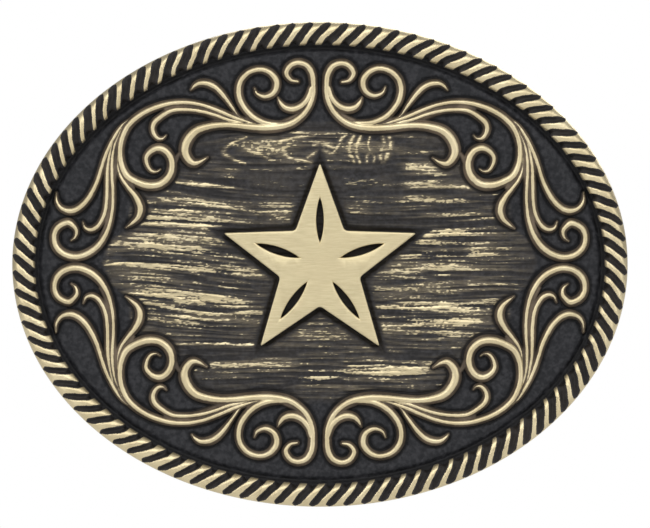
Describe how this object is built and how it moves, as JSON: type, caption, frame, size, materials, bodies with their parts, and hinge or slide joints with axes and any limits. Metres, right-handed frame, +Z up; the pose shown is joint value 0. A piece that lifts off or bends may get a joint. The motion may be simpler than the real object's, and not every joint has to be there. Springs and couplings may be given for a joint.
{
  "type": "belt buckle",
  "caption": "Oval western belt buckle, bowed casting with rope rim, scroll relief and star emblem, swinging belt loop and strap hook behind.",
  "frame": {"origin": "middle of the casting's back surface, where the belt lies", "axes": "+X right and +Z up as worn and seen from the front, +Y towards the wearer"},
  "size_m": [0.096, 0.0174, 0.0754],
  "materials": {
    "antique_brass": "cast, blackened in the hollows and rubbed bright on the high spots",
    "brushed_brass": "flat face brushed from side to side",
    "back_brass": "dull, handled brass",
    "plain_steel": "plain steel wire and stampings"
  },
  "bodies": {
    "buckle": {"buckle_plate": "antique_brass", "emblem_star": "brushed_brass", "emblem_washers": "plain_steel", "hinge_leaf": "back_brass", "leaf_rivets": "back_brass", "hook_base": "back_brass", "base_rivets": "back_brass", "strap_hook": "back_brass"},
    "loop": {"belt_loop": "back_brass", "hinge_pin": "plain_steel"}
  },
  "joints": [
    {"name": "loop_swing", "type": "hinge", "parent": "buckle", "child": "loop", "pos_m": [0.01771, 0.00437, 0], "axis": [0, 0, 1], "range_deg": [-18, 170]}
  ]
}
